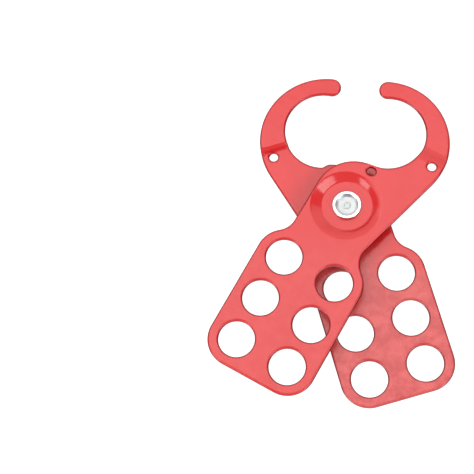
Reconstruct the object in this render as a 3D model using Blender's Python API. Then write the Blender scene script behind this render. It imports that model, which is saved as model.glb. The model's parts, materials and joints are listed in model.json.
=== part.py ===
"""Lockout hasp: two pressed steel plates that turn like scissors on one recessed rivet.

Each plate is one blank of powder-coated sheet. Its lower half is a lock plate with six padlock
holes, and its upper half is a hook, half of the ring that closes round a switch or valve eye.
The pivot dish and the hook are pressed out of the lock plate's level, towards the other plate.
The rear plate is the front plate's blank turned over about its long axis, with a squarer head.

Frame: metres, +Z up through the pivot towards the front plate, +Y towards the hooks along the
hasp's middle line, origin on the surface that the hasp lies on, under the middle of its box.
The hasp stands part open. The front plate turns about the pivot to close it.
"""

import math

import bmesh
import bpy
from mathutils import Matrix, Vector, geometry

MM = 0.001

# Sheet and pressing, in millimetres. In a plate's own frame z = 0 is the lock plate's outer face.
SHEET = 1.8
PRESS_DEPTH = 1.8
RUNNING_GAP = 0.3
STACK = 2 * (SHEET + PRESS_DEPTH) + RUNNING_GAP
OPENING = math.radians(45.25)

# Lock plate: two columns of three padlock holes, measured from the pivot.
HOLE_RADIUS = 6.05
HOLE_COLUMN = 9.55
HOLE_FIRST_ROW = 26.05
HOLE_PITCH = 16.0
HOLE_ROWS = 3
CORNER_X = 9.75
CORNER_RADIUS = 9.5

# Outline circles (x, y, radius) round the pivot at (0, 0). The hook opens towards -X.
HOOK_OUTER = (0.0, 25.75, 22.6)
HOOK_INNER = (-0.2, 29.4, 13.05)
TIP_RADIUS = 3.1
TIP_ANGLE = math.radians(113.25)
HEAD = (1.1, 2.7, 13.65)
NECK_RIGHT = (21.05, -12.45, 8.15)
NECK_LEFT = (-19.65, -13.0, 6.85)

# Three-millimetre jig holes: one in each hook's root, one in the front plate's web over the pivot.
JIG_RADIUS = 1.5
ROOT_HOLE = (18.7, 25.4)
WEB_HOLE = (1.6, 14.3)

# The rear plate's squarer head (x, y, radius): an ear beside the hook, straight across to a
# shoulder behind the front plate's web hole, and a waist that brings it back to the neck.
EAR = (1.6, 14.3, 3.1)
EAR_FILLET = 2.0
SHOULDER = (-9.6, 8.6, 4.7)
WAIST = (-24.65, -3.8, 12.0)

# Step across the hook's root, and the dish round the pivot, whose rim is drawn towards the neck.
STEP_START = 27.9
STEP_RUN = 1.5
DISH_RIM_CENTRE = (-0.7, -0.4)
DISH_RIM_RADIUS = 11.5
DISH_FLOOR_RADIUS = 8.6

# Rivet
SHANK_RADIUS = 3.0
RIVET_HEAD_RADIUS = 4.8
FORMED_HEAD_HEIGHT = 1.0
FACTORY_HEAD_HEIGHT = 1.2
HEAD_EDGE = 0.3
CUP_RADIUS = 3.9
CUP_FLOOR_RADIUS = 3.2
CUP_DEPTH = 0.7
PIP_RADIUS = 0.95
PIP_HEIGHT = 0.2

# Facets
ARC_STEP = math.radians(5.0)
HOLE_SIDES = 36
JIG_SIDES = 16
DISH_SIDES = 64
RIVET_SIDES = 48
SAME_POINT = 0.02
CDT_EPSILON = 1e-5

COAT_RED = (0.78, 0.035, 0.035, 1.0)
ZINC = (0.72, 0.73, 0.74, 1.0)


def clear_scene():
    for old in list(bpy.data.objects):
        bpy.data.objects.remove(old, do_unlink=True)


def make_material(name, colour, metallic, roughness):
    material = bpy.data.materials.new(name)
    material.use_nodes = True
    shader = material.node_tree.nodes["Principled BSDF"]
    shader.inputs["Base Color"].default_value = colour
    shader.inputs["Metallic"].default_value = metallic
    shader.inputs["Roughness"].default_value = roughness
    return material


def common_tangent(first, second):
    """Where the tangent line leaves the first circle and meets the second.

    A circle is (centre, radius). The radius is negative where the outline runs round it clockwise.
    """
    span = second[0] - first[0]
    along = span.normalized()
    outward = Vector((along.y, -along.x))
    lean = max(-1.0, min(1.0, (first[1] - second[1]) / span.length))
    normal = along * lean + outward * math.sqrt(1.0 - lean * lean)
    return first[0] + normal * first[1], second[0] + normal * second[1]


def arc_points(centre, radius, start, end):
    """Points from start to end round the circle, anticlockwise for a positive radius."""
    a = math.atan2(start.y - centre.y, start.x - centre.x)
    b = math.atan2(end.y - centre.y, end.x - centre.x)
    turn = (b - a) % math.tau if radius > 0 else -((a - b) % math.tau)
    if abs(abs(turn) - math.tau) < 1e-4:
        turn = 0.0
    count = max(1, math.ceil(abs(turn) / ARC_STEP))
    spokes = [a + turn * i / count for i in range(count + 1)]
    return [centre + Vector((math.cos(s), math.sin(s))) * abs(radius) for s in spokes]


def belt(circles):
    """Closed outline that wraps round each circle in turn and runs straight between them."""
    spans = [common_tangent(c, circles[(i + 1) % len(circles)]) for i, c in enumerate(circles)]
    points = []
    for i, (centre, radius) in enumerate(circles):
        for point in arc_points(centre, radius, spans[i - 1][1], spans[i][0]):
            if not points or (point - points[-1]).length > SAME_POINT:
                points.append(point)
    if (points[0] - points[-1]).length <= SAME_POINT:
        points.pop()
    return points


def square_head(inner_centre, inner_radius):
    """Circles of the rear plate's head, from the fillet between hook and ear round to the waist."""
    ear = Vector(EAR[:2])
    reach = inner_radius - EAR_FILLET
    spread = EAR[2] + EAR_FILLET
    span = ear - inner_centre
    cosine = (reach**2 + span.length**2 - spread**2) / (2 * reach * span.length)
    bearing = math.atan2(span.y, span.x) + math.acos(cosine)
    fillet = inner_centre + Vector((math.cos(bearing), math.sin(bearing))) * reach
    return [
        (fillet, -EAR_FILLET),
        (ear, EAR[2]),
        (Vector(SHOULDER[:2]), SHOULDER[2]),
        (Vector(WAIST[:2]), -WAIST[2]),
    ]


def plate_outline(rear):
    outer = Vector(HOOK_OUTER[:2])
    inner = Vector(HOOK_INNER[:2])
    tip = outer + Vector((math.cos(TIP_ANGLE), math.sin(TIP_ANGLE))) * (HOOK_OUTER[2] - TIP_RADIUS)
    top = -HOLE_FIRST_ROW
    bottom = top - HOLE_PITCH * (HOLE_ROWS - 1)
    head = square_head(inner, HOOK_INNER[2]) if rear else [(Vector(HEAD[:2]), HEAD[2])]
    return belt([
        (Vector((-CORNER_X, bottom)), CORNER_RADIUS),
        (Vector((CORNER_X, bottom)), CORNER_RADIUS),
        (Vector((CORNER_X, top)), CORNER_RADIUS),
        (Vector(NECK_RIGHT[:2]), -NECK_RIGHT[2]),
        (outer, HOOK_OUTER[2]),
        (tip, TIP_RADIUS),
        (inner, -HOOK_INNER[2]),
        *head,
        (Vector(NECK_LEFT[:2]), -NECK_LEFT[2]),
        (Vector((-CORNER_X, top)), CORNER_RADIUS),
    ])


def circle_points(centre, radius, sides):
    spokes = [math.tau * (i + 0.5) / sides for i in range(sides)]
    return [Vector(centre) + Vector((math.cos(s), math.sin(s))) * radius for s in spokes]


def plate_holes(rear):
    small = [ROOT_HOLE] if rear else [ROOT_HOLE, WEB_HOLE]
    holes = [
        circle_points((side * HOLE_COLUMN, -HOLE_FIRST_ROW - row * HOLE_PITCH), HOLE_RADIUS, HOLE_SIDES)
        for side in (-1, 1)
        for row in range(HOLE_ROWS)
    ]
    holes.append(circle_points((0.0, 0.0), SHANK_RADIUS + RUNNING_GAP, HOLE_SIDES))
    holes += [circle_points(centre, JIG_RADIUS, JIG_SIDES) for centre in small]
    return holes


def mesh_from(bm, name):
    mesh = bpy.data.meshes.new(name)
    bm.to_mesh(mesh)
    bm.free()
    return mesh


def crease_chains():
    """Fold lines of the pressing: two across the hook's root and two rings round the pivot.

    A chain is (points, closed).
    """
    reach = HOOK_OUTER[2] + 1.0
    chains = [
        ([Vector((0.0, y)), Vector((reach, y))], False)
        for y in (STEP_START, STEP_START + STEP_RUN)
    ]
    chains.append((circle_points((0.0, 0.0), DISH_FLOOR_RADIUS, DISH_SIDES), True))
    chains.append((circle_points(DISH_RIM_CENTRE, DISH_RIM_RADIUS, DISH_SIDES), True))
    return chains


def dish_fraction(point):
    """How far down the dish's wall a point is: 0 outside the rim, 1 on the floor."""
    inside_rim = DISH_RIM_RADIUS - (point - Vector(DISH_RIM_CENTRE)).length
    outside_floor = point.length - DISH_FLOOR_RADIUS
    if inside_rim <= 0.0:
        return 0.0
    return inside_rim / (inside_rim + max(outside_floor, 0.0))


def pressed_height(point):
    """Height of the plate's outer face: level, then down the step or down the dish's wall."""
    step = (point.y - STEP_START) / STEP_RUN
    return -PRESS_DEPTH * min(1.0, max(0.0, step, dish_fraction(point)))


def is_inside(point, loop):
    """True if the point is inside the closed loop, by counting the edges to its right."""
    crossings = 0
    for a, b in zip(loop, loop[1:] + loop[:1]):
        if (a.y > point.y) != (b.y > point.y):
            crossings += point.x < a.x + (point.y - a.y) * (b.x - a.x) / (b.y - a.y)
    return crossings % 2 == 1


def plate_mesh(name, rear):
    """Outer face of the plate: the blank inside its outline, without its holes, folded to level."""
    outline = plate_outline(rear)
    holes = plate_holes(rear)
    points = []
    edges = []
    for chain, closed in [(loop, True) for loop in [outline, *holes]] + crease_chains():
        first = len(points)
        points += chain
        edges += [(i, i + 1) for i in range(first, len(points) - 1)]
        if closed:
            edges.append((len(points) - 1, first))
    flat, _, triangles, *_ = geometry.delaunay_2d_cdt(points, edges, [], 0, CDT_EPSILON)
    bm = bmesh.new()
    verts = [bm.verts.new((p.x * MM, p.y * MM, pressed_height(p) * MM)) for p in flat]
    for corners in triangles:
        middle = sum((flat[i] for i in corners), Vector((0.0, 0.0))) / len(corners)
        if is_inside(middle, outline) and not any(is_inside(middle, hole) for hole in holes):
            bm.faces.new([verts[i] for i in corners])
    bmesh.ops.delete(bm, geom=[v for v in bm.verts if not v.link_faces], context="VERTS")
    return mesh_from(bm, name)


def add_sheet_thickness(plate):
    """The sheet's thickness, measured square to its face, so that folds keep it."""
    solidify = plate.modifiers.new("sheet", "SOLIDIFY")
    solidify.thickness = SHEET * MM
    solidify.offset = -1.0
    solidify.use_even_offset = True
    return plate


def middle_of_box():
    """Height in Y of the part-open hasp's middle, measured from the pivot."""
    turn = Matrix.Rotation(-OPENING / 2, 2)
    heights = [(turn @ p).y for p in plate_outline(False)]
    return (max(heights) + min(heights)) / 2


def pivot_empty():
    """Both plates and the rivet hang on this empty, which stands on the joint's axis."""
    pivot = bpy.data.objects.new("pivot_axis", None)
    pivot.location = (0.0, -middle_of_box() * MM, 0.0)
    bpy.context.scene.collection.objects.link(pivot)
    return pivot


def place(name, mesh, material, parent, height, rotation):
    piece = bpy.data.objects.new(name, mesh)
    bpy.context.scene.collection.objects.link(piece)
    mesh.materials.clear()
    mesh.materials.append(material)
    mesh.shade_smooth()
    mesh.set_sharp_from_angle(angle=math.radians(20))
    piece.parent = parent
    piece.location = (0.0, 0.0, height * MM)
    piece.rotation_euler = rotation
    return piece


def front_plate(pivot, material):
    mesh = plate_mesh("front_plate", rear=False)
    plate = place("front_plate", mesh, material, pivot, STACK, (0.0, 0.0, -OPENING / 2))
    return add_sheet_thickness(plate)


def rear_plate(pivot, material):
    """The blank turned over about its long axis, so its pressed side faces the front plate."""
    mesh = plate_mesh("rear_plate", rear=True)
    plate = place("rear_plate", mesh, material, pivot, 0.0, (0.0, math.pi, OPENING / 2))
    return add_sheet_thickness(plate)


def rivet_profile():
    """Half section from the formed head's middle to the factory head's middle, as (radius, z)."""
    under_formed = STACK - PRESS_DEPTH + RUNNING_GAP
    formed_top = under_formed + FORMED_HEAD_HEIGHT
    cup_floor = formed_top - CUP_DEPTH
    under_factory = PRESS_DEPTH - RUNNING_GAP
    factory_face = under_factory - FACTORY_HEAD_HEIGHT
    return [
        (0.0, cup_floor + PIP_HEIGHT),
        (PIP_RADIUS - PIP_HEIGHT, cup_floor + PIP_HEIGHT),
        (PIP_RADIUS, cup_floor),
        (CUP_FLOOR_RADIUS, cup_floor),
        (CUP_RADIUS, formed_top),
        (RIVET_HEAD_RADIUS - HEAD_EDGE, formed_top),
        (RIVET_HEAD_RADIUS, formed_top - HEAD_EDGE),
        (RIVET_HEAD_RADIUS, under_formed + HEAD_EDGE),
        (RIVET_HEAD_RADIUS - HEAD_EDGE, under_formed),
        (SHANK_RADIUS, under_formed),
        (SHANK_RADIUS, under_factory),
        (RIVET_HEAD_RADIUS, under_factory),
        (RIVET_HEAD_RADIUS, factory_face + HEAD_EDGE),
        (RIVET_HEAD_RADIUS - 2 * HEAD_EDGE, factory_face),
        (0.0, factory_face),
    ]


def pivot_rivet(pivot, material):
    bm = bmesh.new()
    verts = [bm.verts.new((r * MM, 0.0, z * MM)) for r, z in rivet_profile()]
    edges = [bm.edges.new(pair) for pair in zip(verts[:-1], verts[1:])]
    bmesh.ops.spin(
        bm,
        geom=verts + edges,
        cent=(0.0, 0.0, 0.0),
        axis=(0.0, 0.0, 1.0),
        angle=math.tau,
        steps=RIVET_SIDES,
        use_merge=True,
    )
    bmesh.ops.remove_doubles(bm, verts=bm.verts, dist=1e-7)
    bmesh.ops.recalc_face_normals(bm, faces=bm.faces)
    mesh = mesh_from(bm, "pivot_rivet")
    return place("pivot_rivet", mesh, material, pivot, 0.0, (0.0, 0.0, 0.0))


def build():
    clear_scene()
    front_coat = make_material("front_coat", COAT_RED, 0.0, 0.3)
    rear_coat = make_material("rear_coat", COAT_RED, 0.0, 0.35)
    zinc = make_material("zinc_plate", ZINC, 1.0, 0.28)
    pivot = pivot_empty()
    rear_plate(pivot, rear_coat)
    front_plate(pivot, front_coat)
    pivot_rivet(pivot, zinc)


build()
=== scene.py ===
"""Looks of the lockout hasp: fine pressed plates with rolled edges, a cupped rivet, studio light.

Lengths are millimetres in the geometry functions and become metres when a mesh is made.
A plate's own frame has the pivot at (0, 0), the lock plate along -Y, and z = 0 at its outer face.
"""

import json
import math

import bpy
import numpy as np
from mathutils import Matrix, Vector, geometry


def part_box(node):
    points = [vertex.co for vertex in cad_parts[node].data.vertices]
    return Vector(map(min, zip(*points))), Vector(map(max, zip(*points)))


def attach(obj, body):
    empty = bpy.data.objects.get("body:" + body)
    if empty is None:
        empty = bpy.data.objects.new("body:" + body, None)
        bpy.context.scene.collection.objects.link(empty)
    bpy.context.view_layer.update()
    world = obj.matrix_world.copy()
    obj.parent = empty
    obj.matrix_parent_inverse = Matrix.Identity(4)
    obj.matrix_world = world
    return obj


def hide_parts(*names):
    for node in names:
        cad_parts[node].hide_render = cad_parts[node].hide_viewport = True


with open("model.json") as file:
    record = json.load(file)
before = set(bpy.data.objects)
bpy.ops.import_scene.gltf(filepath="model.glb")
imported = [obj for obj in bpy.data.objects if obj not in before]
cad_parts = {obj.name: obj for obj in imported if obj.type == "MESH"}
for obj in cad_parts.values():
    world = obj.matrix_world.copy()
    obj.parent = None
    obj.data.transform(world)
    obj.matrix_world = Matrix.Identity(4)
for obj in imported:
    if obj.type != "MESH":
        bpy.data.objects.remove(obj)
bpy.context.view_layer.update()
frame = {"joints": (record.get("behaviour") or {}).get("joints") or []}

MM = 0.001

# Joint and levels, read from the frame, in metres
JOINT = frame["joints"][0]
PIVOT = Vector(JOINT["pos_m"])
OPENING = math.radians(JOINT["range_deg"][1])
FRONT_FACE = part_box("front_plate")[1].z
BACK_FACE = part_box("rear_plate")[0].z
HAIR = 0.00001  # how far the visual plates stay inside those two faces

# Sheet, and its rolled edge
SHEET = 1.8
EDGE_RADIUS = 0.55  # how deep the roll is
EDGE_ROLL = 0.8  # how wide it is
EDGE_STEPS = 6
EDGE_SUPPORT = 0.14  # flat ring that holds the shading beside the roll
EDGE_SHARE = 0.44  # most of the gap between two loops that one edge may take
SAFE_INSET = 0.02

# Lock plate
HOLE_RADIUS = 6.05
HOLE_COLUMN = 9.55
HOLE_FIRST_ROW = 26.05
HOLE_PITCH = 16.0
HOLE_ROWS = 3
CORNER_X = 9.75
CORNER_RADIUS = 9.5

# Outline circles (x, y, radius)
HOOK_OUTER = (0.0, 25.75, 22.6)
HOOK_INNER = (-0.2, 29.4, 13.05)
TIP_RADIUS = 3.1
TIP_ANGLE = math.radians(113.25)
HEAD = (1.1, 2.7, 13.65)
NECK_RIGHT = (21.05, -12.45, 8.15)
NECK_LEFT = (-19.65, -13.0, 6.85)

# Small holes
JIG_RADIUS = 1.5
ROOT_HOLE = (18.7, 25.4)
WEB_HOLE = (1.6, 14.3)
SHANK_HOLE_RADIUS = 3.3

# The rear plate's squarer head
EAR = (1.6, 14.3, 3.1)
EAR_FILLET = 2.0
SHOULDER = (-9.6, 8.6, 4.7)
WAIST = (-24.65, -3.8, 12.0)

# Folds. A step is its start, its run, and the bend radii at its top and at its foot
PRESS_DEPTH = 1.8
STEP_START = 27.9
STEP_RUN = 1.5
REAR_STEP = (STEP_START + 0.25, STEP_RUN - 0.4, 2.1, 0.3)
FRONT_STEP = (STEP_START - 1.1, STEP_RUN + 2.2, 5.5, 4.5)
BEND_LEAST = 0.3
DISH_RIM_CENTRE = (-0.7, -0.4)
DISH_RIM_RADIUS = 11.5
DISH_FLOOR_RADIUS = 8.6
DISH_FLOOR_BEND = 0.5
RIM_CRISP = 0.9  # bend radius of the rim where it is crisp
RIM_SOFT = 4.5  # and where it is soft
CRISP_SIDE = math.radians(165.0)
CRISP_FADE = (-0.45, 0.75)  # cosines off the crisp side where the rim is soft and is crisp

# Mesh density
STRAIGHT_STEP = 0.6
ARC_STEP = math.radians(2.5)
SMALL_ARC_STEP = ARC_STEP * 3
LARGE_ARC = 8.0  # radius from which an arc takes the finer step
LARGE_ARC_STRETCH = 1.5  # its longest chord, in straight steps
NO_TURN = 1e-4
LEAST_CHORD = STRAIGHT_STEP / 10
HOLE_SIDES = 96
JIG_SIDES = 40
DISH_SIDES = 144
DISH_RING_GAP = 0.22
DISH_REACH = (-0.25, 1.6)  # first and last ring, as shares of the way from the floor to the rim
STEP_LINE_GAP = 0.2
STEP_POINT_GAP = 0.5
STEP_MARGIN = 3.4
POINT_MARGIN = 0.16
CLEAR_BLOCK = 512
CDT_EPSILON = 1e-5


# ---------------------------------------------------------------- outline of a plate

def common_tangent(first, second):
    """Where the tangent line leaves the first circle (centre, radius) and meets the second."""
    span = second[0] - first[0]
    along = span / np.linalg.norm(span)
    outward = np.array((along[1], -along[0]))
    lean = np.clip((first[1] - second[1]) / np.linalg.norm(span), -1.0, 1.0)
    normal = along * lean + outward * math.sqrt(1.0 - lean * lean)
    return first[0] + normal * first[1], second[0] + normal * second[1], normal


def arc(centre, radius, start, end):
    """Points and outward normals from start to end, anticlockwise for a positive radius."""
    a = math.atan2(start[1] - centre[1], start[0] - centre[0])
    b = math.atan2(end[1] - centre[1], end[0] - centre[0])
    turn = (b - a) % math.tau if radius > 0 else -((a - b) % math.tau)
    if abs(abs(turn) - math.tau) < NO_TURN:
        turn = 0.0
    size = abs(radius)
    step = SMALL_ARC_STEP
    if size > LARGE_ARC:
        step = min(ARC_STEP, STRAIGHT_STEP / size * LARGE_ARC_STRETCH)
    count = max(1, math.ceil(abs(turn) / step))
    spokes = a + turn * np.arange(count + 1) / count
    rays = np.c_[np.cos(spokes), np.sin(spokes)]
    return centre + rays * size, rays * math.copysign(1.0, radius)


def belt(circles):
    """Closed loop round each circle in turn, straight between them: points and outward normals."""
    spans = [common_tangent(c, circles[(i + 1) % len(circles)]) for i, c in enumerate(circles)]
    points, normals = [], []
    for i, (centre, radius) in enumerate(circles):
        leave, meet, normal = spans[i]
        bend, rays = arc(centre, radius, spans[i - 1][1], leave)
        points += list(bend)
        normals += list(rays)
        count = math.ceil(np.linalg.norm(meet - leave) / STRAIGHT_STEP)
        for k in range(1, count):
            points.append(leave + (meet - leave) * k / count)
            normals.append(normal)
    keep = [i for i, p in enumerate(points) if np.linalg.norm(p - points[i - 1]) > LEAST_CHORD]
    return np.array(points)[keep], np.array(normals)[keep]


def circle(x, y, radius):
    return np.array((x, y)), radius


def square_head(inner):
    """Circles of the rear plate's head, from the fillet between hook and ear round to the waist."""
    ear, ear_radius = circle(*EAR)
    reach = HOOK_INNER[2] - EAR_FILLET
    spread = ear_radius + EAR_FILLET
    span = ear - inner
    length = np.linalg.norm(span)
    cosine = (reach**2 + length**2 - spread**2) / (2 * reach * length)
    bearing = math.atan2(span[1], span[0]) + math.acos(cosine)
    fillet = inner + np.array((math.cos(bearing), math.sin(bearing))) * reach
    waist, waist_radius = circle(*WAIST)
    return [(fillet, -EAR_FILLET), (ear, ear_radius), circle(*SHOULDER), (waist, -waist_radius)]


def plate_outline(rear):
    """Round the lock plate, up the neck's right side, round the hook, and down past the head."""
    outer = np.array(HOOK_OUTER[:2])
    inner = np.array(HOOK_INNER[:2])
    reach = HOOK_OUTER[2] - TIP_RADIUS
    tip = outer + np.array((math.cos(TIP_ANGLE), math.sin(TIP_ANGLE))) * reach
    top = -HOLE_FIRST_ROW
    bottom = top - HOLE_PITCH * (HOLE_ROWS - 1)
    return belt([
        circle(-CORNER_X, bottom, CORNER_RADIUS),
        circle(CORNER_X, bottom, CORNER_RADIUS),
        circle(CORNER_X, top, CORNER_RADIUS),
        circle(*NECK_RIGHT[:2], -NECK_RIGHT[2]),
        circle(*HOOK_OUTER),
        (tip, TIP_RADIUS),
        (inner, -HOOK_INNER[2]),
        *(square_head(inner) if rear else [circle(*HEAD)]),
        circle(*NECK_LEFT[:2], -NECK_LEFT[2]),
        circle(-CORNER_X, top, CORNER_RADIUS),
    ])


def round_hole(centre, radius, sides):
    """Clockwise loop, whose normals point into the hole, away from the metal."""
    spokes = -math.tau * np.arange(sides) / sides
    rays = np.c_[np.cos(spokes), np.sin(spokes)]
    return np.array(centre) + rays * radius, -rays


def plate_loops(rear):
    """The outline first, then every hole, as (points, normals)."""
    loops = [plate_outline(rear)]
    for side in (-1, 1):
        for row in range(HOLE_ROWS):
            centre = (side * HOLE_COLUMN, -HOLE_FIRST_ROW - row * HOLE_PITCH)
            loops.append(round_hole(centre, HOLE_RADIUS, HOLE_SIDES))
    loops.append(round_hole((0.0, 0.0), SHANK_HOLE_RADIUS, HOLE_SIDES))
    small = [ROOT_HOLE] if rear else [ROOT_HOLE, WEB_HOLE]
    loops += [round_hole(centre, JIG_RADIUS, JIG_SIDES) for centre in small]
    return loops


# ---------------------------------------------------------------- levels of the pressed sheet

def fold(s, run, convex, concave):
    """Height along a pressed slope that starts at s = 0, with a bend radius at each end."""
    angle = np.arctan2(PRESS_DEPTH, run)
    start = convex * np.tan(angle / 2)
    end = concave * np.tan(angle / 2)
    height = -np.clip(s, 0.0, run) * np.tan(angle)
    top = (s > -start) & (s < start * np.cos(angle))
    rolled = -convex + np.sqrt(np.maximum(convex**2 - (s + start) ** 2, 0.0))
    foot = (s > run - end * np.cos(angle)) & (s < run + end)
    lift = concave - np.sqrt(np.maximum(concave**2 - (run + end - s) ** 2, 0.0))
    return np.where(top, rolled, np.where(foot, -PRESS_DEPTH + lift, height))


def rim_bend(points):
    """Bend radius of the dish's rim: small on its crisp side, large opposite."""
    off = points[:, 0] * math.cos(CRISP_SIDE) + points[:, 1] * math.sin(CRISP_SIDE)
    lean = off / np.maximum(np.hypot(points[:, 0], points[:, 1]), 1e-6)
    crisp = np.clip((lean - CRISP_FADE[0]) / (CRISP_FADE[1] - CRISP_FADE[0]), 0.0, 1.0)
    crisp = crisp * crisp * (3.0 - 2.0 * crisp)
    return RIM_SOFT + (RIM_CRISP - RIM_SOFT) * crisp


def sheet_height(points, face, rear):
    """Height of the outer face (0) or the inner face (1) at points in the plate's plane."""
    start, run, bend, foot = REAR_STEP if rear else FRONT_STEP
    step = (points[:, 1] - start, np.full(len(points), run), bend, foot)
    inside_rim = DISH_RIM_RADIUS - np.hypot(*(points - DISH_RIM_CENTRE).T)
    outside_floor = np.hypot(*points.T) - DISH_FLOOR_RADIUS
    wall = np.maximum(inside_rim + outside_floor, STEP_RUN)
    dish = (inside_rim, wall, rim_bend(points), DISH_FLOOR_BEND)
    heights = []
    for s, run, bend, foot in (step, dish):
        shift = SHEET * face * np.tan(np.arctan2(PRESS_DEPTH, run) / 2)
        convex = np.maximum(bend - SHEET * face, BEND_LEAST)
        heights.append(fold(s + shift, run, convex, foot + SHEET * face))
    return np.minimum(*heights) - SHEET * face


def fold_points():
    """Points inside the plate that carry the dish and the step."""
    points = []
    width = DISH_RIM_RADIUS - DISH_FLOOR_RADIUS
    for k, share in enumerate(np.arange(*DISH_REACH, DISH_RING_GAP / width)):
        spokes = math.tau * (np.arange(DISH_SIDES) + 0.5 * (k % 2)) / DISH_SIDES
        ring = np.c_[np.cos(spokes), np.sin(spokes)] * (DISH_FLOOR_RADIUS + share * width)
        points.append(ring + np.array(DISH_RIM_CENTRE) * min(max(share, 0.0), 1.0))
    near = STEP_START - STEP_MARGIN
    far = STEP_START + STEP_RUN + STEP_MARGIN
    across = np.arange(0.0, HOOK_OUTER[2], STEP_POINT_GAP)
    for k, y in enumerate(np.arange(near, far, STEP_LINE_GAP)):
        points.append(np.c_[across + STEP_POINT_GAP / 2 * (k % 2), np.full(len(across), y)])
    return np.concatenate(points)


# ---------------------------------------------------------------- mesh of a plate

# Painted edge shade by the way an edge faces: the share left where it faces -Y, and the span of its
# facing towards +Y over which it grows to full
FACING_SHADE_LEAST = 0.22
FACING_SHADE_FADE = (-0.75, -0.15)


def inside_loop(points, loop):
    """For each point, whether it is inside the closed loop."""
    a, b = loop, np.roll(loop, -1, 0)
    rise = b[:, 1] - a[:, 1]
    safe = np.where(rise == 0, 1.0, rise)
    x, y = points[:, 0][:, None], points[:, 1][:, None]
    straddles = (a[None, :, 1] > y) != (b[None, :, 1] > y)
    crossing = a[None, :, 0] + (y - a[None, :, 1]) * ((b - a)[:, 0] / safe)[None]
    return ((straddles & (x < crossing)).sum(1) % 2) == 1


def clear_of(points, loop, gap):
    """For each point, whether it is further than gap from the loop's points."""
    far = np.ones(len(points), bool)
    for start in range(0, len(points), CLEAR_BLOCK):
        block = slice(start, start + CLEAR_BLOCK)
        spans = points[block, None, :] - loop[None]
        far[block] = (spans**2).sum(2).min(1) > gap**2
    return far


def edge_rings():
    """(inset, drop, face) down the sheet's edge from the outer face (0) to the inner face (1)."""
    turns = [math.pi / 2 * k / EDGE_STEPS for k in range(EDGE_STEPS + 1)]
    rolled = [(EDGE_ROLL * (1 - math.sin(t)), EDGE_RADIUS * (1 - math.cos(t))) for t in turns]
    half = [(EDGE_ROLL + EDGE_SUPPORT, 0.0)] + rolled
    return [(d, h, 0) for d, h in half] + [(d, h, 1) for d, h in reversed(half)]


def edge_scale(loops):
    """For each point of each loop, how much of the full edge fits before the next loop."""
    full = EDGE_ROLL + EDGE_SUPPORT + SAFE_INSET
    scales = []
    for k, (points, _) in enumerate(loops):
        others = np.concatenate([p for j, (p, _) in enumerate(loops) if j != k])
        gap = np.array([np.sqrt(((others - p) ** 2).sum(1).min()) for p in points])
        scales.append(np.minimum(1.0, EDGE_SHARE * gap / full))
    return scales


def facing_edge_shade(normals):
    """How much painted shade an edge gets by the way it faces: least where it faces -Y with the
    hasp at rest.
    """
    lean = OPENING / 2
    up = normals[:, 1] * math.cos(lean) - normals[:, 0] * math.sin(lean)
    fade = np.clip((up - FACING_SHADE_FADE[0]) / (FACING_SHADE_FADE[1] - FACING_SHADE_FADE[0]), 0.0, 1.0)
    return FACING_SHADE_LEAST + (1.0 - FACING_SHADE_LEAST) * fade


def inside_plan(points, borders):
    """For each point, whether it is inside the outline and outside every hole."""
    inside = inside_loop(points, borders[0])
    for border in borders[1:]:
        inside &= ~inside_loop(points, border)
    return inside


def edge_shell(loops, rear):
    """Rolled edges of every loop: vertices, painted edge shade, faces, inner borders, and each
    ring's start.
    """
    verts, painted_edge_shade, faces, borders, starts = [], [], [], [], []
    total = 0
    for (points, normals), scale in zip(loops, edge_scale(loops)):
        count = len(points)
        firsts = []
        for inset, drop, face in edge_rings():
            flat = points - normals * (inset * scale + SAFE_INSET)[:, None]
            sign = 1.0 if face else -1.0
            verts.append(np.c_[flat, sheet_height(flat, face, rear) + sign * drop * scale])
            # Painted shade, deeper down the roll and on edges that face away from -Y
            painted_edge_shade.append(drop / EDGE_RADIUS * facing_edge_shade(normals))
            firsts.append(total)
            total += count
        for upper, lower in zip(firsts[:-1], firsts[1:]):
            for i in range(count):
                j = (i + 1) % count
                faces.append((upper + i, lower + i, lower + j, upper + j))
        inset = (EDGE_ROLL + EDGE_SUPPORT) * scale + SAFE_INSET
        borders.append(points - normals * inset[:, None])
        starts.append(firsts)
    return verts, painted_edge_shade, faces, borders, starts


def plan_triangles(borders, inner):
    """Triangles that fill the metal's plan, as numbers into the borders' points then inner."""
    flat = np.concatenate(borders + [inner])
    edges, first = [], 0
    for border in borders:
        count = len(border)
        edges += [(first + i, first + (i + 1) % count) for i in range(count)]
        first += count
    made, _, triangles, *_ = geometry.delaunay_2d_cdt(
        [Vector(p) for p in flat], edges, [], 0, CDT_EPSILON
    )
    if len(made) != len(flat):
        raise ValueError("the plate's plan has points that coincide")
    corners = np.array(triangles)
    return corners[inside_plan(flat[corners].mean(1), borders)]


def plate_mesh(name, rear):
    """Closed shell of the pressed plate, in its own frame, with a rolled edge on every loop."""
    verts, painted_edge_shade, faces, borders, starts = edge_shell(plate_loops(rear), rear)
    inner = fold_points()
    keep = inside_plan(inner, borders)
    for border in borders:
        keep &= clear_of(inner, border, POINT_MARGIN)
    inner = inner[keep]
    corners = plan_triangles(borders, inner)
    total = sum(len(block) for block in verts)
    for face in (0, 1):
        index = []
        for border, firsts in zip(borders, starts):
            first = firsts[-1] if face else firsts[0]
            index += range(first, first + len(border))
        index += range(total, total + len(inner))
        verts.append(np.c_[inner, sheet_height(inner, face, rear)])
        painted_edge_shade.append(np.zeros(len(inner)))
        total += len(inner)
        order = corners[:, ::-1] if face else corners
        faces += [tuple(triangle) for triangle in np.array(index)[order].tolist()]
    mesh = bpy.data.meshes.new(name)
    mesh.from_pydata((np.concatenate(verts) * MM).tolist(), [], faces)
    mesh.validate()
    # The edge attribute carries the painted edge shade to the coat
    edge = mesh.attributes.new("edge", "FLOAT", "POINT")
    edge.data.foreach_set("value", np.concatenate(painted_edge_shade).astype(np.float32))
    mesh.shade_smooth()
    mesh.update()
    return mesh


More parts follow.
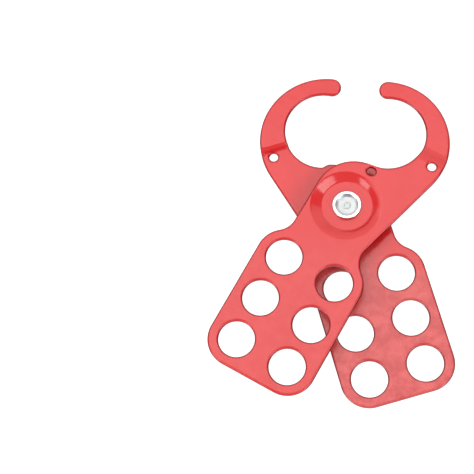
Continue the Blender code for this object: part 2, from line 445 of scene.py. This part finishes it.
def add_piece(name, mesh, place, body, nodes):
    """Puts the mesh in the row frame, lets it ride on its body and stand for its CAD nodes."""
    mesh.transform(place)
    piece = bpy.data.objects.new(name, mesh)
    bpy.context.scene.collection.objects.link(piece)
    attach(piece, body)
    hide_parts(*nodes)
    return piece


def front_plate():
    place = (
        Matrix.Translation((PIVOT.x, PIVOT.y, FRONT_FACE - HAIR))
        @ Matrix.Rotation(-OPENING / 2, 4, "Z")
    )
    return add_piece(
        "front_plate_pressed", plate_mesh("front_plate_pressed", False), place,
        "front_half", ["front_plate"],
    )


def rear_plate():
    place = (
        Matrix.Translation((PIVOT.x, PIVOT.y, BACK_FACE + HAIR))
        @ Matrix.Rotation(OPENING / 2, 4, "Z")
        @ Matrix.Rotation(math.pi, 4, "Y")
    )
    return add_piece(
        "rear_plate_pressed", plate_mesh("rear_plate_pressed", True), place,
        "rear_half", ["rear_plate"],
    )


# ---------------------------------------------------------------- rivet

RIVET_SIDES = 128
FILLET_STEPS = 5
SHANK_RADIUS = 3.0
HEAD_RADIUS = 4.8
CUP_RADIUS = 3.9
SEAT_GAP = 0.05
SHARP_ANGLE = math.radians(50)


def turned(profile):
    """Closed mesh of the half section (radius, z) turned about the z axis."""
    sides = RIVET_SIDES
    spokes = math.tau * np.arange(sides) / sides
    verts, rows = [], []
    for radius, z in profile:
        if radius < 1e-6:
            rows.append([len(verts)])
            verts.append((0.0, 0.0, z))
        else:
            rows.append(range(len(verts), len(verts) + sides))
            verts += [(radius * math.cos(s), radius * math.sin(s), z) for s in spokes]
    faces = []
    for upper, lower in zip(rows[:-1], rows[1:]):
        for i in range(sides):
            j = (i + 1) % sides
            if len(upper) == 1:
                faces.append((upper[0], lower[i], lower[j]))
            elif len(lower) == 1:
                faces.append((upper[i], lower[0], upper[j]))
            else:
                faces.append((upper[i], lower[i], lower[j], upper[j]))
    return verts, faces


def rounded(corners):
    """Corners (radius, z, fillet) as a polyline whose corners are arcs."""
    path = []
    for i, (r, z, fillet) in enumerate(corners):
        here = np.array((r, z))
        if fillet == 0 or i in (0, len(corners) - 1):
            path.append(here)
            continue
        back = np.array(corners[i - 1][:2]) - here
        ahead = np.array(corners[i + 1][:2]) - here
        back, ahead = back / np.linalg.norm(back), ahead / np.linalg.norm(ahead)
        half = math.acos(np.clip(back @ ahead, -1, 1)) / 2
        reach = fillet / math.tan(half)
        centre = here + (back + ahead) / np.linalg.norm(back + ahead) * fillet / math.sin(half)
        first, last = here + back * reach - centre, here + ahead * reach - centre
        sweep = math.acos(np.clip(first @ last / fillet**2, -1, 1))
        for k in range(FILLET_STEPS + 1):
            t = k / FILLET_STEPS
            blend = math.sin((1 - t) * sweep) * first + math.sin(t * sweep) * last
            path.append(centre + blend / math.sin(sweep))
    return path


def pivot_rivet():
    """Formed head with its cup in the front dish, shank, and low factory head in the rear dish."""
    low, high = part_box("pivot_rivet")
    top = high.z / MM
    base = low.z / MM
    seat = FRONT_FACE / MM - PRESS_DEPTH + SEAT_GAP
    rear_seat = BACK_FACE / MM + PRESS_DEPTH - SEAT_GAP
    edge = HEAD_RADIUS - SAFE_INSET
    # Half section from the middle of the cup down to the middle of the back: radius, z, fillet
    corners = [
        (0.0, top - 0.66, 0),
        (0.75, top - 0.66, 0.3),
        (0.95, top - 0.56, 0.12),
        (1.15, top - 0.56, 0.12),
        (1.4, top - 0.64, 0.3),
        (3.0, top - 0.56, 0.6),
        (3.7, top - 0.22, 0.3),
        (3.95, top - 0.02, 0.08),
        (4.1, top, 0.1),
        (edge - 0.02, top - 0.04, 0.12),
        (edge, seat, 0.08),
        (SHANK_RADIUS, seat, 0),
        (SHANK_RADIUS, rear_seat, 0),
        (edge, rear_seat, 0.1),
        (edge, base + 0.45, 0.3),
        (edge - 0.9, base, 0.8),
        (0.0, base, 0),
    ]
    verts, faces = turned(rounded(corners))
    mesh = bpy.data.meshes.new("pivot_rivet_turned")
    mesh.from_pydata((np.array(verts) * MM).tolist(), [], faces)
    cup = mesh.attributes.new("cup", "FLOAT", "POINT")
    cup.data.foreach_set("value", [float(math.hypot(x, y) < CUP_RADIUS) for x, y, _ in verts])
    mesh.shade_smooth()
    mesh.set_sharp_from_angle(angle=SHARP_ANGLE)
    place = Matrix.Translation((PIVOT.x, PIVOT.y, 0.0))
    return add_piece(
        "pivot_rivet_turned", mesh, place, "rear_half", ["pivot_rivet"]
    )


# ---------------------------------------------------------------- materials

COLOUR_MIX_INPUTS = (0, 6, 7)  # the Mix node's factor, and its two colours
COLOUR_MIX_OUTPUT = 2


def set_range(node, *limits):
    """Sets a Map Range node's four limits."""
    for socket, number in zip(("From Min", "From Max", "To Min", "To Max"), limits):
        node.inputs[socket].default_value = number


class Nodes:
    """Short way to build a material: a method named after a node returns its main output."""

    def __init__(self, name):
        self.material = bpy.data.materials.new(name)
        self.material.use_nodes = True
        self.tree = self.material.node_tree
        self.shader = self.tree.nodes["Principled BSDF"]

    def add(self, kind, **inputs):
        node = self.tree.nodes.new(kind)
        for socket, value in inputs.items():
            self.set(node, socket, value)
        return node

    def set(self, node, socket, value):
        target = node.inputs[socket]
        if isinstance(value, bpy.types.NodeSocket):
            self.tree.links.new(value, target)
        else:
            target.default_value = value

    def place(self):
        return self.add("ShaderNodeTexCoord").outputs["Object"]

    def axis(self, letter):
        return self.add("ShaderNodeSeparateXYZ", Vector=self.place()).outputs[letter]

    def noise(self, scale, detail=2.0, roughness=0.5):
        """Noise with about this many blotches to the metre."""
        node = self.add("ShaderNodeTexNoise", Scale=scale, Detail=detail, Roughness=roughness)
        self.set(node, "Vector", self.place())
        return node.outputs["Fac"]

    def span(self, value, low, high, to_low=0.0, to_high=1.0):
        """The value, moved from the range low to high to the range to_low to to_high."""
        node = self.add("ShaderNodeMapRange", Value=value)
        set_range(node, low, high, to_low, to_high)
        return node.outputs["Result"]

    def mix(self, factor, first, second):
        node = self.tree.nodes.new("ShaderNodeMix")
        node.data_type = "RGBA"
        for socket, value in zip(COLOUR_MIX_INPUTS, (factor, first, second)):
            self.set(node, socket, value)
        return node.outputs[COLOUR_MIX_OUTPUT]

    def math(self, operation, first, second):
        node = self.tree.nodes.new("ShaderNodeMath")
        node.operation = operation
        self.set(node, 0, first)
        self.set(node, 1, second)
        return node.outputs[0]

    def bump(self, height, strength, distance, normal=None):
        node = self.add("ShaderNodeBump", Height=height, Strength=strength, Distance=distance)
        if normal is not None:
            self.tree.links.new(normal, node.inputs["Normal"])
        return node.outputs["Normal"]

    def attribute(self, name):
        node = self.tree.nodes.new("ShaderNodeAttribute")
        node.attribute_name = name
        return node.outputs["Fac"]


WHITE = (1.0, 1.0, 1.0, 1.0)
COAT_RED = (0.445, 0.010, 0.011, 1.0)
BLOOM_RED = (0.465, 0.013, 0.014, 1.0)
# Painted shade on the rolled edges
EDGE_SHADE_RED = (0.09, 0.002, 0.004, 1.0)
# Darker, greyer reds towards -Y, mottled between the two
LOWER_DARK_RED = (0.36, 0.036, 0.036, 1.0)
LOWER_PALE_RED = (0.46, 0.070, 0.066, 1.0)
ZINC_BLUE = (0.80, 0.80, 0.83, 1.0)
ZINC_YELLOW = (0.74, 0.79, 0.77, 1.0)
CUP_BLUE = (0.44, 0.43, 0.44, 1.0)
CUP_YELLOW = (0.38, 0.41, 0.40, 1.0)

# Roughness, least and most
COAT_ROUGHNESS = (0.13, 0.21)
ZINC_ROUGHNESS = (0.14, 0.22)
LOWER_ROUGHENS = 0.1
EDGE_DULLS = 0.2
CUP_DULLS = 0.2

# Specular level on the coat's flats and on its edges, and how far the painted edge shade goes
FLAT_SPECULAR = 0.5
EDGE_SPECULAR = 0.08
EDGE_SHADE_COVER = 0.88

# Where the duller, greyer coat towards -Y starts and is full, in metres along Y
LOWER_FADE = (0.0, -0.012)
FRONT_LOWER_DULLING = 0.25
REAR_LOWER_DULLING = 0.9


def coat_material(name, lower_dulling):
    """Powder coat: cloudy, with orange peel, painted shade on the edges, duller and greyer towards
    -Y.
    """
    n = Nodes(name)
    cloud = n.span(n.noise(90.0, 3.0), 0.35, 0.65)
    colour = n.mix(cloud, COAT_RED, BLOOM_RED)
    # Darker and greyer towards -Y, much more so on the rear plate
    lower_share = n.math("MULTIPLY", n.span(n.axis("Y"), *LOWER_FADE), lower_dulling)
    lower_mottle = n.span(n.noise(230.0, 6.0, 0.65), 0.40, 0.62)
    colour = n.mix(lower_share, colour, n.mix(lower_mottle, LOWER_DARK_RED, LOWER_PALE_RED))
    # Painted shade darkens the rolled edges
    rim = n.span(n.attribute("edge"), 0.03, 0.30, 0.0, EDGE_SHADE_COVER)
    n.set(n.shader, "Base Color", n.mix(rim, colour, EDGE_SHADE_RED))
    specular = n.span(n.attribute("edge"), 0.10, 0.30, FLAT_SPECULAR, EDGE_SPECULAR)
    n.set(n.shader, "Specular IOR Level", specular)
    sheen = n.span(n.noise(240.0), 0.3, 0.7, *COAT_ROUGHNESS)
    dulled = n.math(
        "ADD", n.math("MULTIPLY", lower_share, LOWER_ROUGHENS), n.math("MULTIPLY", rim, EDGE_DULLS)
    )
    n.set(n.shader, "Roughness", n.math("ADD", sheen, dulled))
    peel = n.bump(n.noise(1100.0, 1.0), 0.12, 0.0002)
    n.set(n.shader, "Normal", n.bump(n.noise(260.0, 1.0), 0.1, 0.0006, peel))
    n.set(n.shader, "IOR", 1.5)
    return n.material


def zinc_material():
    """Bright zinc plate: polished rim, duller cup, faint blue and yellow passivation."""
    n = Nodes("zinc_plate")
    tint = n.span(n.noise(420.0, 3.0), 0.35, 0.65)
    cup = n.attribute("cup")
    colour = n.mix(cup, n.mix(tint, ZINC_BLUE, ZINC_YELLOW), n.mix(tint, CUP_BLUE, CUP_YELLOW))
    n.set(n.shader, "Base Color", colour)
    n.set(n.shader, "Metallic", 1.0)
    mist = n.span(n.noise(900.0), 0.3, 0.7, *ZINC_ROUGHNESS)
    n.set(n.shader, "Roughness", n.math("ADD", mist, n.math("MULTIPLY", cup, CUP_DULLS)))
    n.set(n.shader, "Normal", n.bump(n.noise(500.0), 0.08, 0.0002))
    return n.material


# ---------------------------------------------------------------- studio

# Camera: metres, degrees, and millimetres of lens and sensor
CAMERA_PLACE = (0.016907, -0.139449, 0.474373)
CAMERA_TURN = (16.641, 4.2658, 7.2735)
CAMERA_LENS = 110.591
CAMERA_SENSOR = 36.0
CAMERA_NEAR = 0.01

# Floor, in metres
FLOOR_HALF = 3.0
FLOOR_DROP = 0.00005
FLOOR_GLOW = 0.85
FLOOR_GREY = (0.35, 0.35, 0.35, 1.0)

# World: radiance below and above, and the heights (as the sine of elevation) between which it turns
GROUND = 0.05
SKY = 0.4
HORIZON = (-0.05, 0.2)


def add_camera():
    data = bpy.data.cameras.new("camera")
    data.lens = CAMERA_LENS
    data.sensor_width = CAMERA_SENSOR
    data.clip_start = CAMERA_NEAR
    camera = bpy.data.objects.new("camera", data)
    camera.location = CAMERA_PLACE
    camera.rotation_euler = [math.radians(a) for a in CAMERA_TURN]
    bpy.context.scene.collection.objects.link(camera)
    bpy.context.scene.camera = camera


def floor_material():
    n = Nodes("white_table")
    n.set(n.shader, "Base Color", FLOOR_GREY)
    n.set(n.shader, "Roughness", 0.9)
    n.set(n.shader, "Specular IOR Level", 0.1)
    n.set(n.shader, "Emission Color", WHITE)
    n.set(n.shader, "Emission Strength", FLOOR_GLOW)
    return n.material


def add_floor():
    mesh = bpy.data.meshes.new("floor")
    far = FLOOR_HALF
    corners = [(-far, -far, 0), (far, -far, 0), (far, far, 0), (-far, far, 0)]
    mesh.from_pydata(corners, [], [(0, 1, 2, 3)])
    mesh.materials.append(floor_material())
    floor = bpy.data.objects.new("floor", mesh)
    floor.location = (0.0, 0.0, BACK_FACE - FLOOR_DROP)
    bpy.context.scene.collection.objects.link(floor)


def add_panel(name, azimuth, zenith, wide, tall, radiance, glossy=True):
    """Soft box a metre away: where it stands and its size as seen from the hasp, in degrees.

    Azimuth runs from +Y towards +X, and zenith is measured from straight up. A panel that isn't
    glossy lights the coat without being mirrored in it.
    """
    data = bpy.data.lights.new(name, "AREA")
    data.shape = "RECTANGLE"
    data.size = 2 * math.tan(math.radians(wide / 2))
    data.size_y = 2 * math.tan(math.radians(tall / 2))
    data.energy = radiance * data.size * data.size_y * math.pi
    light = bpy.data.objects.new(name, data)
    a, z = math.radians(azimuth), math.radians(zenith)
    away = Vector((math.sin(a) * math.sin(z), math.cos(a) * math.sin(z), math.cos(z)))
    light.location = away
    light.visible_glossy = glossy
    light.rotation_mode = "QUATERNION"
    light.rotation_quaternion = away.to_track_quat("Z", "Y")
    bpy.context.scene.collection.objects.link(light)


def add_lights():
    """Panels as name, azimuth, zenith, width, height and radiance, and a world between them."""
    add_panel("overhead", -7.0, 14.0, 34.0, 26.0, 2.5)
    add_panel("north_wall", -7.0, 46.0, 100.0, 36.0, 1.35)
    add_panel("north_skirt", -7.0, 76.0, 100.0, 22.0, 1.0)
    add_panel("west_sky", -85.0, 30.0, 44.0, 26.0, 1.9)
    add_panel("left_box", -131.0, 64.0, 24.0, 28.0, 5.0)
    add_panel("right_box", 116.0, 50.0, 34.0, 26.0, 5.2)
    add_panel("south_fill", 173.0, 45.0, 70.0, 46.0, 1.6, glossy=False)
    world = bpy.data.worlds.new("studio")
    world.use_nodes = True
    tree = world.node_tree
    shade = tree.nodes.new("ShaderNodeMapRange")
    height = tree.nodes.new("ShaderNodeSeparateXYZ")
    tree.links.new(tree.nodes.new("ShaderNodeTexCoord").outputs["Generated"], height.inputs[0])
    tree.links.new(height.outputs["Z"], shade.inputs["Value"])
    set_range(shade, *HORIZON, GROUND, SKY)
    tree.links.new(shade.outputs["Result"], tree.nodes["Background"].inputs["Strength"])
    tree.nodes["Background"].inputs["Color"].default_value = WHITE
    bpy.context.scene.world = world
    bpy.context.scene.view_settings.view_transform = "Standard"


add_camera()
add_floor()
add_lights()
front_plate().data.materials.append(coat_material("front_coat", FRONT_LOWER_DULLING))
rear_plate().data.materials.append(coat_material("rear_coat", REAR_LOWER_DULLING))
pivot_rivet().data.materials.append(zinc_material())
